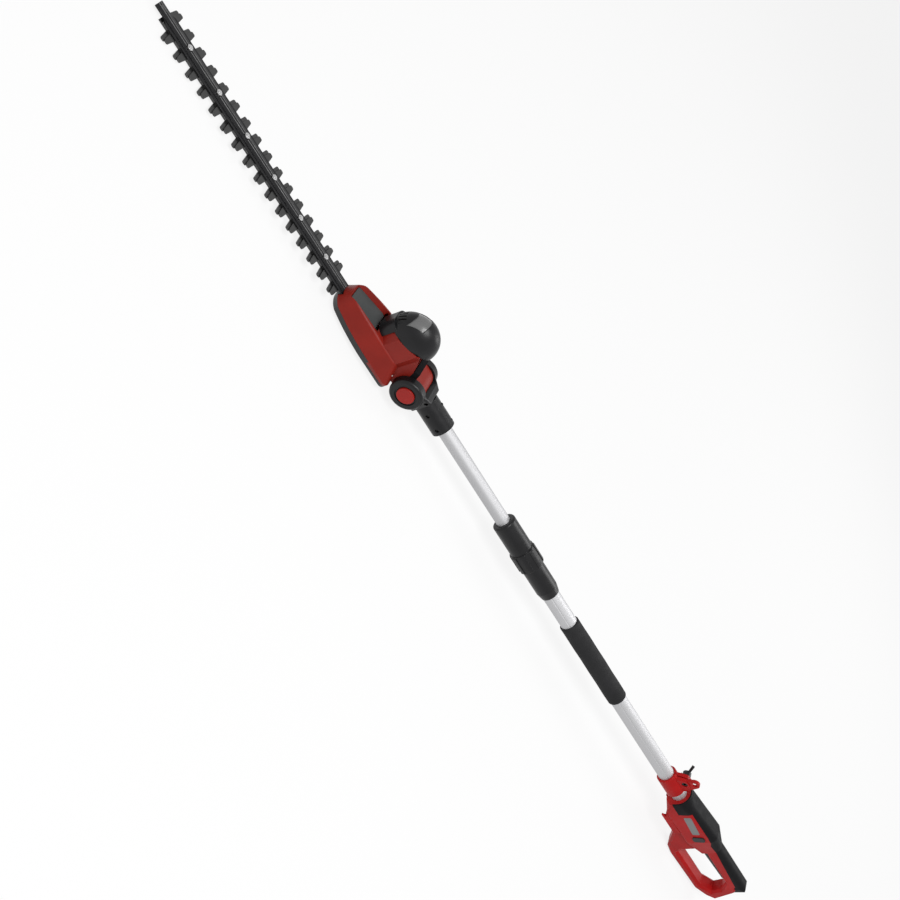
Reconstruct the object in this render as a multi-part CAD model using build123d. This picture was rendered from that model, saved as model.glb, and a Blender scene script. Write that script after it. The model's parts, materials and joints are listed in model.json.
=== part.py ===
"""Telescopic pole hedge trimmer, shown without its battery pack.

Working frame: the origin is the middle of the head's tilt axis, +X runs along the pole to
the blade tip, +Y is to the left and +Z is up as the tool is held. place() turns the whole
tool by a few degrees so that it lies on its blade tip and its hand loop, with the origin
on the floor under the middle of its box.
"""
import os
from math import acos, atan2, cos, degrees, pi, radians, sin

from build123d import *

# Fits
RUN = 0.05
SEAT = 0.1
SLIP = 0.15
CLEAR = 0.3

# Beyond every side face, for cuts
WIDE = 60.0

# Cutting blades, numbered from the tip
TOOTH_PITCH = 25.0
TEETH = 16
TOOTH_REACH = 28.0
TOOTH_ROOT = 10.5
TOOTH_TIP = 6.5
TOOTH_ROUND = 2.6
BLADE_HALF = 11.5
BLADE_THICK = 2.0
BLADE_TIP_X = 577.0
FIRST_TOOTH_X = 571.0
LEFT_LAG = 14.5
STROKE = 12.5
REST_SHIFT = 2.5

# Guide bar over the blades
BAR_BOTTOM = -14.0
BAR_FLANGE = 1.5
BAR_HALF = 12.1
BAR_RIDGE = 2.3
RIDGE_EDGE = 1.0
RIDGE_CREST = 2.0
RIDGE_REAR_X = 158.0
BAR_REAR_X = 132.0
BAR_SCREW_IN = 5.0
BAR_SCREW_STEP = 14.0
TONGUE_TIP_X = 595.0
TONGUE_HALF = 7.5
TONGUE_SLOT = 12.0
TONGUE_SLOT_WIDTH = 4.0
STUD_FIRST_X = 533.0
STUD_STEP = 62.5
STUDS = 6
STUD_RADIUS = 2.5
STUD_NUT_RADIUS = 4.5
STUD_NUT_TALL = 4.0
STUD_HEAD_TALL = 3.0

# Head casing
HEAD_HALF = 38.0
HEAD_WALL = 2.5
NOSE_X = 171.0
NOSE_HALF = 27.0
NOSE_DEPTH = 13.0
TAPER_X = 78.0
TAPER_BULGE = 2.5
NOSE_ROUND = 9.0
REAR_ROUND = 10.0
BASE_BOTTOM = -30.0
BASE_TOP = -18.0
BASE_INSET = 4.0
BASE_RAKE = 2.0
BASE_STEP_X = 69.0
BASE_STEP_Z = -24.0
SHELL_TOP = 13.0
SHELL_INSET = 8.0
SHELL_SHOULDER = 5.0
SHELL_GAP = 0.5
HINGE_WALL = 7.5
SHELL_TOP_REAR_X = 46.0
DECK_X = 104.0
DECK_FRONT_X = 164.0
DECK_FRONT_Z = 8.0
PANEL_REAR_Z = 6.0
PANEL_FRONT_Z = 0.0
PANEL_RIM = 9.0
PANEL_DRAFT = 5.5
PANEL_THICK = 2.0
PANEL_REAR_HALF = 20.0
PANEL_FRONT_HALF = 14.0
PANEL_LENGTH = 55.0
PANEL_CORNER = 4.0
PANEL_FRONT_GAP = 1.2
TOWER_HALF = 28.5
TOWER_FRONT_X = 92.0
TOWER_FRONT_Z = 35.5
TOWER_REAR_X = 44.0
TOWER_REAR_Z = 50.0
TOWER_FLARE = 5.0
TOWER_CORNER = 10.0
CAP_X = 66.0
CAP_Z = 40.0
CAP_LONG = 39.4
CAP_TALL = 41.5
CAP_WALL = 4.0
CAP_FOOT_X = 106.0
CAP_FOOT_HALF = 21.0
CAP_BAND_X = 94.0
CAP_BAND_LONG = 19.0
CAP_BAND_HALF = 17.0
CAP_BAND_THICK = 1.2
CAP_BAND_SINK = 1.4
VENT_X = 99.0
VENT_SLOTS = 7
VENT_STEP = 5.0
VENT_WIDE = 2.2
VENT_LOW_Z = 43.0
VENT_TOP_Z = 56.0
STRIP_OUTLINE = [(12.0, 20.0), (20.0, 14.0), (25.0, 27.0), (17.0, 31.0)]
HEAD_SCREW_RADIUS = 1.6
HEAD_SCREW_HEAD = 3.2
HEAD_SCREW_BOSS = 4.5
HEAD_SCREW_SINK = 4.0
HEAD_SCREW_LONG = 20.0
HEAD_SCREW_REAR_X = 34.0
HEAD_SCREW_EDGE = 11.0
HEAD_SCREW_NOSE = 5.0
HEAD_SCREW_FRONT_X = 138.0

# Tilt hinge and yoke
BARREL_RADIUS = 22.5
BARREL_HALF = 19.8
DISC_GAP = 0.7
DISC_THICK = 10.5
DISC_CROWN_TALL = 3.0
DISC_RIM = 3.5
DISC_ROUND = 4.5
BUTTON_PROUD = 1.0
BUTTON_SEAT = 4.0
HUB_WEB = 3.0
BUTTON_RADIUS = 13.6
BUTTON_TRAVEL = 6.0
HUB_RADIUS = 11.0
PIN_RADIUS = 5.0
HUB_INNER = 8.0
SPRING_INNER = -6.0
SPRING_WIRE = 0.8
YOKE_END_X = -85.6
YOKE_WALL = 7.2
YOKE_NECK_X = -34.0
YOKE_ARM_X = -8.0
YOKE_ARM_HALF = 21.5
YOKE_ROUND = 4.0
SPRING_TURNS = 4
YOKE_SCREWS = [(-50.0, 15.5), (-79.0, 15.0)]
YOKE_NEAR_SCREW = (-29.0, 13.0)
TUBE_SCREWS_X = [-50.0, -77.0]
TUBE_SCREW_Z = 1.5
TUBE_SCREW_TIP = 8.5
TUBE_SCREW_SEAT = 14.5
BUTTON_RING = 3.0
BUTTON_RING_DEEP = 2.0
WEB_ANGLE = 139.0
YOKE_SCREW = 1.6
YOKE_SCREW_HEAD = 3.0
YOKE_SCREW_SEAT = 6.0
YOKE_SCREW_TIP = 7.0

# Drive
MOTOR_X = 68.0
MOTOR_RADIUS = 18.5
MOTOR_TALL = 57.0
GEAR_MODULE = 1.0
GEAR_TEETH = 50
PINION_TEETH = 10
GEAR_TOP = -6.5
GEAR_THICK = 6.0
CRANK_RADIUS = 4.0
CRANK_WALL = 1.5
YOKE_RIM = 5.5
CASE_BOTTOM = -5.2
CASE_THICK = 3.5
CASE_HALF = 24.0
CASE_REAR_X = 47.0
CASE_WALL_X = 126.0
CASE_FRONT_X = 156.0
CASE_FRONT_TOP = -6.5
CASE_CORNER = 7.0
BUSH_WALL = 1.5
MOTOR_SHAFT = 1.6
MOTOR_BOSS = 6.5
MOTOR_TAB = 0.8
MOTOR_TAB_Y = 13.0
MOTOR_TAB_HALF = 2.5
MOTOR_BEVEL = 1.25
MOTOR_SCREW_Y = 11.125
GEAR_ADDENDUM = 0.75
GEAR_DEDENDUM = 1.15
GEAR_THINNING = 0.8
GEAR_FLANK = 0.36

# Pole
TUBE_GAP = 1.3
INNER_WALL = 1.3
INNER_FRONT_X = -44.0
INNER_REAR_X = -770.0
OUTER_RADIUS = 14.2
OUTER_WALL = 1.6
OUTER_FRONT_X = -290.0
OUTER_REAR_X = -985.0
GROOVE_ANGLE = 28.0
GROOVE_DEPTH = 0.7
GROOVE_HALF = 1.6
LEAD_RADIUS = 6.0
TUBE_BUSH_LONG = 22.6
COLLET_REACH = 28.4
COLLET_SLIT = 14.2
COLLET_STEP = 1.3
NUT_WALL = 3.5
NUT_SWELL = 2.75
NUT_FRONT_X = -271.6
NUT_BULGE_X = -330.0
NUT_REAR_X = -366.0
NUT_LIP = 3.0
NUT_FLATS = 8
NUT_FLAT_WIDE = 9.0
NUT_FLAT_DEEP = 1.6
COLLAR_WALL = 4.1
COLLAR_LIP = 1.5
COLLAR_TAPER_X = -415.0
COLLAR_REAR_X = -428.0
FOAM_FRONT_X = -495.0
FOAM_REAR_X = -676.0
FOAM_WALL = 2.8
FOAM_ROUND = 1.2

# Strap clamp
CLAMP_FRONT_X = -875.0
CLAMP_REAR_X = -918.0
CLAMP_WALL = 4.1
CLAMP_SPLIT = 2.0
EAR_HALF = 8.0
EAR_OUTLINE = [(-878.0, 8.0), (-888.0, 26.0), (-893.0, 33.0), (-906.0, 34.0), (-915.0, 24.0), (-917.0, 8.0)]
CLAMP_BEVEL = 1.25
EYE_X = -904.0
EYE_Z = 42.0
EYE_RADIUS = 9.5
EYE_HOLE = 4.8
CLAMP_BOLT_X = -899.0
CLAMP_BOLT_Z = 26.0
CLAMP_BOLT_RADIUS = 3.0
CLAMP_BOLT_HEAD = 5.2
CLAMP_BOLT_SINK = 4.5
CLAMP_BOLT_SOCKET = 2.9
WING_HUB = 7.5
WING_TALL = 10.0
WING_REACH = 17.0
WING_THICK = 5.0
WING_ANGLE = -60.0

# Rear handle
RING_X = -932.0
RING_RADIUS = 24.0
BODY_HALF = 24.0
BODY_BOTTOM = -31.0
BODY_TOP = 21.5
BODY_MID_X = -956.0
HUMP_X = -1043.0
HUMP_TOP = 28.0
HUMP_HALF = 22.0
NECK_X = -1084.0
NECK_HALF = 14.8
GRIP_HALF = 15.0
GRIP_TOP = 17.0
GRIP_BOTTOM = -13.0
GRIP_REAR_X = -1214.0
GRIP_FRONT_X = -1075.0
RING_ROUND = 23.0
BODY_ROUND = 15.0
RING_FOOT = 20.0
BODY_FOOT = 4.0
HUMP_ROUND = 13.0
NECK_ROUND = 12.0
NECK_BOTTOM = -22.0
NECK_TOP = 16.8
GRIP_ROUND = 12.0
GRIP_END = [
    (-1196.0, 17.0), (-1204.0, 15.0), (-1210.0, 10.5), (-1213.0, 5.0), (-1214.0, -3.0), (-1214.0, -13.0),
]
GRIP_END_HALF = [(-1196.0, 15.0), (-1207.0, 12.0), (-1214.0, 5.0)]
LOOP_HALF = 15.0
LOOP_CHAMFER = 4.5
LOOP_OUTLINE = [
    (-1014.0, -22.0), (-1014.0, -39.0), (-1020.0, -49.0), (-1060.0, -79.5), (-1082.0, -83.5),
    (-1188.0, -81.5), (-1213.0, -69.0), (-1227.0, -54.0), (-1209.0, -8.0), (-1198.0, 4.0), (-1034.0, 4.0),
]
LOOP_REST = (-1082.0, -83.5)
RUNNER_GAP_HALF = 8.5
RUNNER_TALL = 0.6
RUNNER_LONG = 30.0
LOOP_REAR = (-1227.0, -54.0)
WINDOW_OUTLINE = [
    (-1072.0, -13.0), (-1074.0, -60.0), (-1080.0, -66.5), (-1182.0, -67.0), (-1203.0, -53.0),
    (-1197.0, -31.0), (-1176.0, -13.0),
]
SOFT_THICK = 2.4
SHELL_WALL = 2.6
SOFT_REGION = [
    (-931.0, -9.0), (-960.0, -9.0), (-963.0, 15.3), (-1030.0, 16.4), (-1047.0, 15.0), (-1057.0, 10.0),
    (-1188.0, 2.0), (-1197.0, -11.0), (-1240.0, -11.0), (-1240.0, 60.0), (-931.0, 60.0),
]
CAVITY_FRONT_X = -990.0
TRIGGER_FRONT_X = -1075.0
TRIGGER_REAR_X = -1168.0
TRIGGER_HALF = 8.0
TRIGGER_TOP = -6.0
TRIGGER_FRONT_Z = -21.0
TRIGGER_REAR_Z = -17.0
TRIGGER_PIVOT_X = -1163.0
TRIGGER_PIVOT_Z = -7.0
TRIGGER_PIN_RADIUS = 2.0
TRIGGER_PLAY = 1.5
TRIGGER_ROUND = 0.35
SWITCH_X = -1098.0
SWITCH_LONG = 34.0
SWITCH_HALF = 6.5
SWITCH_BOTTOM = 3.0
SWITCH_TALL = 7.0
SWITCH_TAB = 1.8
TRIGGER_SPRING_X = -1106.0
TRIGGER_SPRING_RADIUS = 3.5
TRIGGER_SPRING_TURNS = 3
BOARD_FRONT_X = -994.0
BOARD_LONG = 24.0
BOARD_HALF = 13.0
BOARD_THICK = 1.6
BOARD_GAP = 0.4
HANDLE_SCREWS = [
    (-1003.0, -17.0), (-1046.0, -55.0), (-1140.0, -75.0), (-1206.0, -43.0), (-1186.0, 2.0), (-1066.0, 12.0),
]
HANDLE_SCREW = 1.75
HANDLE_SCREW_HEAD = 3.3
HANDLE_SCREW_SEAT = 8.0
HANDLE_SCREW_TIP = 8.0
HANDLE_BOSS = 4.2
LOCK_X = -1033.0
LOCK_Z = -2.5
LOCK_TURN = 81.0
LOCK_LONG = 22.0
LOCK_WIDE = 13.0
LOCK_CORNER = 4.5
LOCK_PROUD = 1.4
LOCK_BACK = 10.0
LOCK_FLANGE = 2.0
LOCK_SPRING_END = 0.0
LOCK_SPRING_RADIUS = 3.0
PLATE_X = -994.0
PLATE_Z = 1.0
PLATE_TURN = -5.0
PLATE_LONG = 50.0
PLATE_TALL = 14.0
PLATE_THICK = 1.4
PLATE_CORNER = 2.8
DOCK_FRONT_X = -957.0
DOCK_REAR_X = -1012.0
DOCK_HALF = 23.0
DOCK_BOTTOM = -41.5
DOCK_RAIL = 4.0
DOCK_LIP = 3.0
DOCK_TOP = -33.5
DOCK_ROOF = -29.0
DOCK_STOP = 4.0
DOCK_TOOTH = 7.0
TERMINAL_HALF = 10.0
TERMINAL_LONG = 12.0
TERMINAL_TALL = 5.0
TERMINAL_BLADES = 3
TERMINAL_STEP = 7.0
TERMINAL_BLADE = 0.8
TERMINAL_REACH = 12.0

# Sizes that follow from the ones above
UPPER_TOP = BAR_BOTTOM - SLIP
UPPER_BOTTOM = UPPER_TOP - BLADE_THICK
LOWER_TOP = UPPER_BOTTOM - SLIP
LOWER_BOTTOM = LOWER_TOP - BLADE_THICK
THROW = STROKE / 2
SHELL_REAR_X = BARREL_RADIUS + SHELL_GAP
BASE_REAR_X = SHELL_REAR_X - BASE_RAKE
HINGE_WALL_X = BARREL_RADIUS + HINGE_WALL
HEAD_SCREW_REAR_Y = HEAD_HALF - HEAD_SCREW_EDGE
HEAD_SCREW_FRONT_Y = NOSE_HALF - HEAD_SCREW_NOSE
DISC_RADIUS = BARREL_RADIUS + DISC_RIM
DISC_INNER = BARREL_HALF + DISC_GAP
DISC_OUTER = DISC_INNER + DISC_THICK
DISC_CROWN = DISC_OUTER + DISC_CROWN_TALL
BUTTON_FACE = DISC_CROWN + BUTTON_PROUD
BUTTON_BACK = DISC_CROWN - BUTTON_SEAT
PIN_END = BUTTON_BACK - BUTTON_TRAVEL - HUB_WEB
CENTRES = GEAR_MODULE * (GEAR_TEETH + PINION_TEETH) / 2
CRANK_X = MOTOR_X + CENTRES
ECCENTRIC = CRANK_RADIUS + THROW + CRANK_WALL
LAG_ANGLE = acos(2 / pi)
YOKE_PLAY = THROW * (sin(LAG_ANGLE) - 2 * LAG_ANGLE / pi) + CLEAR
CRANK_REST = degrees(REST_SHIFT * pi / STROKE)
GEAR_BOTTOM = GEAR_TOP - GEAR_THICK
DECK_FALL = atan2(SHELL_TOP - DECK_FRONT_Z, DECK_FRONT_X - DECK_X)
PANEL_FALL = atan2(PANEL_REAR_Z - PANEL_FRONT_Z, DECK_FRONT_X - DECK_X)
STUD_BOTTOM = LOWER_BOTTOM - SLIP - STUD_HEAD_TALL
DROOP = atan2(STUD_BOTTOM - LOOP_REST[1], STUD_FIRST_X + STUD_NUT_RADIUS - LOOP_REST[0])
FLOOR_Z = LOOP_REST[1] * cos(DROOP) - LOOP_REST[0] * sin(DROOP)
FRONT_END_X = TONGUE_TIP_X * cos(DROOP) + (BAR_BOTTOM + BAR_FLANGE + BAR_RIDGE) * sin(DROOP)
REAR_END_X = LOOP_REAR[0] * cos(DROOP) + LOOP_REAR[1] * sin(DROOP)
MIDDLE_X = (FRONT_END_X + REAR_END_X) / 2
STUD_X = [STUD_FIRST_X - STUD_STEP * i for i in range(STUDS)]
OUTER_BORE = OUTER_RADIUS - OUTER_WALL
INNER_RADIUS = OUTER_BORE - TUBE_GAP
INNER_BORE = INNER_RADIUS - INNER_WALL
YOKE_RADIUS = INNER_RADIUS + YOKE_WALL
FOAM_RADIUS = OUTER_RADIUS + FOAM_WALL
COLLAR_RADIUS = OUTER_RADIUS + COLLAR_WALL
COLLAR_END_RADIUS = OUTER_RADIUS + COLLAR_LIP
COLLET_FLANGE = OUTER_RADIUS + COLLET_STEP
NUT_RADIUS = COLLET_FLANGE + NUT_WALL
NUT_BULGE_RADIUS = NUT_RADIUS + NUT_SWELL
CLAMP_RADIUS = OUTER_RADIUS + CLAMP_WALL


def rod_x(radius, x0, x1, y=0.0, z=0.0):
    """Round bar along X."""
    return Pos((x0 + x1) / 2, y, z) * Rot(0, 90, 0) * Cylinder(radius, abs(x1 - x0))


def rod_y(radius, y0, y1, x=0.0, z=0.0):
    """Round bar along Y."""
    return Pos(x, (y0 + y1) / 2, z) * Rot(90, 0, 0) * Cylinder(radius, abs(y1 - y0))


def rod_z(radius, z0, z1, x=0.0, y=0.0):
    """Round bar along Z."""
    return Pos(x, y, (z0 + z1) / 2) * Cylinder(radius, abs(z1 - z0))


def block(x0, x1, y0, y1, z0, z1):
    """Box between two corners."""
    size = Box(abs(x1 - x0), abs(y1 - y0), abs(z1 - z0))
    return Pos((x0 + x1) / 2, (y0 + y1) / 2, (z0 + z1) / 2) * size


def side_slab(points, y0, y1):
    """Outline in the XZ plane, thick along Y."""
    outline = Polyline(*[(x, y0, z) for x, z in points], close=True)
    return extrude(make_face(outline), amount=y1 - y0, dir=(0, 1, 0))


def plan_slab(points, z0, z1):
    """Outline in the XY plane, thick along Z."""
    outline = Polyline(*[(x, y, z0) for x, y in points], close=True)
    return extrude(make_face(outline), amount=z1 - z0, dir=(0, 0, 1))


def mirrored(points):
    """Close a half outline over the X axis."""
    return points + [(x, -y) for x, y in reversed(points)]


def coil(radius, wire, length, turns):
    """Compression spring along +Z from the origin."""
    path = Helix(pitch=length / turns, height=length, radius=radius)
    section = Plane(path @ 0, z_dir=path % 0) * Circle(wire)
    return sweep(section, path=path)


# Blades and guide bar

def tooth(side):
    """One tooth, its root on the blade's middle line, pointing to side."""
    root = TOOTH_ROOT / 2
    tip = TOOTH_TIP / 2
    reach = side * TOOTH_REACH
    edge = side * BLADE_HALF
    points = [(-root, 0), (-root, edge), (-tip, reach), (tip, reach), (root, edge), (root, 0)]
    face = make_face(Polyline(*points, close=True))
    tips = face.vertices().filter_by(lambda v: abs(abs(v.Y) - TOOTH_REACH) < SLIP)
    return fillet(tips, TOOTH_ROUND)


def blade(shift, bottom):
    """Toothed blade with stud slots and a drive yoke, moved along X by shift from mid stroke."""
    window_x = ECCENTRIC + YOKE_PLAY
    window_y = ECCENTRIC + THROW + CLEAR
    yoke_front = CRANK_X + window_x + YOKE_RIM
    body_long = BLADE_TIP_X - yoke_front
    flat = Pos(yoke_front + body_long / 2, 0) * Rectangle(body_long, 2 * BLADE_HALF)
    for i in range(TEETH):
        flat += Pos(FIRST_TOOTH_X - TOOTH_PITCH * i, 0) * tooth(-1)
        flat += Pos(FIRST_TOOTH_X - LEFT_LAG - TOOTH_PITCH * i, 0) * tooth(1)
    flat += Pos(CRANK_X, 0) * Rectangle(2 * (window_x + YOKE_RIM), 2 * (window_y + YOKE_RIM))
    flat -= Pos(CRANK_X, 0) * Rectangle(2 * window_x, 2 * window_y)
    slot = SlotOverall(STROKE + 2 * (STUD_RADIUS + CLEAR), 2 * (STUD_RADIUS + CLEAR))
    for x in STUD_X:
        flat -= Pos(x, 0) * slot
    return Pos(shift, 0, bottom) * extrude(flat, amount=BLADE_THICK)


def guide_bar():
    """Flat bar with a raised rail along its middle that runs on as a tongue with a slot."""
    top = BAR_BOTTOM + BAR_FLANGE
    taper_x = BLADE_TIP_X - TONGUE_HALF
    plan = mirrored([(BAR_REAR_X, BAR_HALF), (taper_x, BAR_HALF), (BLADE_TIP_X, TONGUE_HALF)])
    bar = plan_slab(plan, BAR_BOTTOM, top)
    high = top + BAR_RIDGE
    rail = mirrored([(BAR_BOTTOM, TONGUE_HALF), (top + RIDGE_EDGE, TONGUE_HALF), (high, RIDGE_CREST)])
    face = make_face(Polyline(*[(RIDGE_REAR_X, y, z) for z, y in rail], close=True))
    bar += extrude(face, amount=TONGUE_TIP_X - RIDGE_REAR_X, dir=(1, 0, 0))
    slot = extrude(SlotOverall(TONGUE_SLOT, TONGUE_SLOT_WIDTH), amount=2 * BAR_RIDGE, both=True)
    bar -= Pos((BLADE_TIP_X + TONGUE_TIP_X) / 2, 0, BAR_BOTTOM) * slot
    for x in STUD_X:
        bar -= rod_z(STUD_NUT_RADIUS + CLEAR, top, high + CLEAR, x)
        bar -= rod_z(STUD_RADIUS + SEAT, BAR_BOTTOM - SLIP, top + SLIP, x)
    for x in bar_screw_x():
        bar -= rod_z(STUD_RADIUS + SEAT, BAR_BOTTOM - SLIP, high + CLEAR, x)
    return bar


def bar_screw_x():
    """Places of the two screws that hold the bar to the gear case."""
    return [BAR_REAR_X + BAR_SCREW_IN, BAR_REAR_X + BAR_SCREW_IN + BAR_SCREW_STEP]


def blade_studs():
    """Studs that hold the blades to the bar: flat head below, hexagon nut above."""
    top = BAR_BOTTOM + BAR_FLANGE
    low = LOWER_BOTTOM - SLIP
    nut = extrude(RegularPolygon(STUD_NUT_RADIUS, 6), amount=STUD_NUT_TALL)
    studs = []
    for x in STUD_X:
        stud = rod_z(STUD_RADIUS, low, top + STUD_NUT_TALL + BAR_FLANGE, x)
        stud += rod_z(STUD_NUT_RADIUS, STUD_BOTTOM, low, x)
        stud += Pos(x, 0, top) * nut
        studs.append(stud)
    return Compound(children=studs)


# Head casing

def head_outline(inset, rear, z):
    """Plan of the head at height z: straight sides drawn in to a round nose, corners rounded."""
    half = HEAD_HALF - inset
    nose_half = NOSE_HALF - inset
    nose = NOSE_X - inset
    corner = nose - NOSE_DEPTH
    mid_x = (TAPER_X + corner) / 2
    mid_y = (half + nose_half) / 2 + TAPER_BULGE
    edges = [
        Line((rear, -half, z), (rear, half, z)),
        Line((rear, half, z), (TAPER_X, half, z)),
        ThreePointArc((TAPER_X, half, z), (mid_x, mid_y, z), (corner, nose_half, z)),
        ThreePointArc((corner, nose_half, z), (nose, 0, z), (corner, -nose_half, z)),
        ThreePointArc((corner, -nose_half, z), (mid_x, -mid_y, z), (TAPER_X, -half, z)),
        Line((TAPER_X, -half, z), (rear, -half, z)),
    ]
    outline = fillet(make_face(edges).vertices().group_by(Axis.X)[0], REAR_ROUND)
    nose_corners = [v for v in outline.vertices() if abs(v.X - corner) < SEAT]
    return fillet(nose_corners, NOSE_ROUND)


def base_tray():
    """Plain tray that closes the head from below."""
    foot = head_outline(BASE_INSET, BASE_REAR_X, BASE_BOTTOM)
    outer = loft([foot, head_outline(0, SHELL_REAR_X, BASE_TOP)])
    low = head_outline(BASE_INSET + HEAD_WALL, BASE_REAR_X + HEAD_WALL, BASE_BOTTOM + HEAD_WALL)
    return outer - loft([low, head_outline(HEAD_WALL, SHELL_REAR_X + HEAD_WALL, BASE_TOP)])


def base_step():
    """Room at the rear where the casing reaches down over the tray."""
    return block(0, BASE_STEP_X, -WIDE, WIDE, BASE_STEP_Z, BASE_TOP + SEAT)


def base_plate():
    """Black tray under the head, with a bearing boss for the crank."""
    floor = BASE_BOTTOM + HEAD_WALL
    tray = base_tray() - base_step()
    boss_top = LOWER_BOTTOM - CLEAR
    tray += rod_z(2 * CRANK_RADIUS, BASE_BOTTOM + HEAD_WALL / 2, boss_top, CRANK_X)
    tray -= rod_z(CRANK_RADIUS + BUSH_WALL + SEAT, floor, boss_top + CLEAR, CRANK_X)
    tray -= blade_mouth()
    for x, y in head_screw_places():
        tray += rod_z(HEAD_SCREW_BOSS, floor - SEAT, BASE_TOP, x, y)
        tray -= rod_z(HEAD_SCREW_RADIUS + SEAT, BASE_BOTTOM - SEAT, BASE_TOP + SEAT, x, y)
        tray -= rod_z(HEAD_SCREW_HEAD + SEAT, BASE_BOTTOM - SEAT, BASE_BOTTOM + HEAD_SCREW_SINK, x, y)
    return tray


def head_screw_places():
    """Four screws that close the head from below."""
    return [
        (HEAD_SCREW_REAR_X, HEAD_SCREW_REAR_Y), (HEAD_SCREW_REAR_X, -HEAD_SCREW_REAR_Y),
        (HEAD_SCREW_FRONT_X, HEAD_SCREW_FRONT_Y), (HEAD_SCREW_FRONT_X, -HEAD_SCREW_FRONT_Y),
    ]


def blade_mouth():
    """Slot in the nose that the bar and the blades come out of."""
    top = BAR_BOTTOM + BAR_FLANGE + BAR_RIDGE + CLEAR
    half = BAR_HALF + CLEAR
    return block(NOSE_X - 2 * NOSE_DEPTH, NOSE_X + NOSE_DEPTH, -half, half, LOWER_BOTTOM - CLEAR, top)


def deck_plane(height, fall):
    """Sloping plane over the head from height at its rear, its X running down to the nose."""
    along = (cos(fall), 0, -sin(fall))
    upward = (sin(fall), 0, cos(fall))
    return Plane(origin=(DECK_X, 0, height), x_dir=along, z_dir=upward)


def above_deck(height, fall):
    """Everything over a sloping plane."""
    return deck_plane(height, fall) * block(0, 2 * WIDE, -WIDE, WIDE, 0, WIDE)


def panel_face(gap, front_gap, z):
    """Outline of the panel, grown by gap, at height z over its plane."""
    front = PANEL_LENGTH + gap + front_gap
    points = mirrored([(-gap, PANEL_REAR_HALF + gap), (front, PANEL_FRONT_HALF + gap)])
    return make_face(Polyline(*[(x, y, z) for x, y in points], close=True))


def panel_pocket():
    """Seat of the panel with sloping sides over it."""
    seat = extrude(panel_face(SEAT, PANEL_FRONT_GAP, 0), amount=-PANEL_THICK)
    flare = loft([panel_face(SEAT, PANEL_FRONT_GAP, 0), panel_face(PANEL_DRAFT, PANEL_FRONT_GAP, PANEL_RIM)])
    return deck_plane(PANEL_REAR_Z, PANEL_FALL) * (seat + flare)


def tower(inset):
    """Motor tower behind the deck, drawn in to the hinge."""
    half = TOWER_HALF - inset
    neck = BARREL_HALF - inset
    plan = mirrored([
        (0, neck), (TOWER_REAR_X - TOWER_FLARE, neck), (TOWER_REAR_X + TOWER_FLARE, half),
        (TOWER_FRONT_X - TOWER_CORNER - inset, half), (TOWER_FRONT_X - inset, half - TOWER_CORNER),
    ])
    side = [
        (0, BASE_TOP + inset), (TOWER_FRONT_X, BASE_TOP + inset), (TOWER_FRONT_X, TOWER_FRONT_Z),
        (TOWER_REAR_X, TOWER_REAR_Z), (SHELL_REAR_X, BARREL_RADIUS + inset / 2), (0, BARREL_RADIUS - inset),
    ]
    return plan_slab(plan, BASE_TOP - inset, CAP_Z + CAP_TALL) & side_slab(side, -WIDE, WIDE)


def shell_form():
    """Outside of the casing under the tower, with rounded shoulders along its top."""
    low = head_outline(0, SHELL_REAR_X, BASE_TOP)
    high = head_outline(SHELL_INSET, SHELL_TOP_REAR_X, SHELL_TOP)
    form = loft([low, high]) - above_deck(SHELL_TOP, DECK_FALL)
    tops = form.faces().sort_by(Axis.Z)[-2:]
    rim = [edge for face in tops for edge in face.edges() if abs(edge.center().X - DECK_X) > SEAT]
    return fillet(rim, SHELL_SHOULDER)


def head_housing():
    """Red upper casing with the motor tower and the hinge barrel."""
    skin = shell_form()
    in_low = head_outline(HEAD_WALL, SHELL_REAR_X + HEAD_WALL, BASE_TOP)
    in_high = head_outline(SHELL_INSET + HEAD_WALL, SHELL_TOP_REAR_X + HEAD_WALL, SHELL_TOP)
    hollow = loft([in_low, in_high])
    hollow -= above_deck(PANEL_REAR_Z - PANEL_THICK - HEAD_WALL, PANEL_FALL)
    hollow &= block(0, 2 * NOSE_X, -WIDE, WIDE, BASE_TOP - SEAT, SHELL_TOP - HEAD_WALL)
    housing = skin + tower(0) + rod_y(BARREL_RADIUS, -BARREL_HALF, BARREL_HALF)
    housing += base_tray() & base_step()
    before = block(HINGE_WALL_X, NOSE_X, -WIDE, WIDE, 2 * BASE_TOP, CAP_Z + CAP_TALL)
    housing -= hollow
    housing -= tower(HEAD_WALL) & before
    housing -= panel_pocket()
    housing -= blade_mouth()
    housing -= seal_strip(SEAT)
    housing -= hinge_bores()
    for x, y in head_screw_places():
        housing += rod_z(HEAD_SCREW_BOSS, BASE_TOP, BASE_TOP + HEAD_SCREW_LONG, x, y) & skin
        hole_top = BASE_TOP + HEAD_SCREW_LONG - HEAD_WALL
        housing -= rod_z(HEAD_SCREW_RADIUS + SEAT, BASE_TOP - SEAT, hole_top, x, y)
    return housing


def hinge_bores():
    """Pin bore and the pocket for the lock hub and its spring."""
    pin_bore = rod_y(PIN_RADIUS + RUN, -2 * BARREL_HALF, SPRING_INNER + RUN)
    return pin_bore + rod_y(HUB_RADIUS + CLEAR, SPRING_INNER, 2 * BARREL_HALF)


def seal_strip(gap=0.0):
    """Black seal strip across the tower, above the hinge barrel."""
    strip = side_slab(STRIP_OUTLINE, -BARREL_HALF - gap, BARREL_HALF + gap)
    return strip - rod_y(BARREL_RADIUS - gap, -WIDE, WIDE)


def top_panel():
    """Grey panel let into the deck."""
    panel = extrude(panel_face(0, 0, SEAT - PANEL_THICK), amount=PANEL_THICK)
    panel = fillet(panel.edges().filter_by(Axis.Z), PANEL_CORNER)
    return deck_plane(PANEL_REAR_Z, PANEL_FALL) * panel


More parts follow.
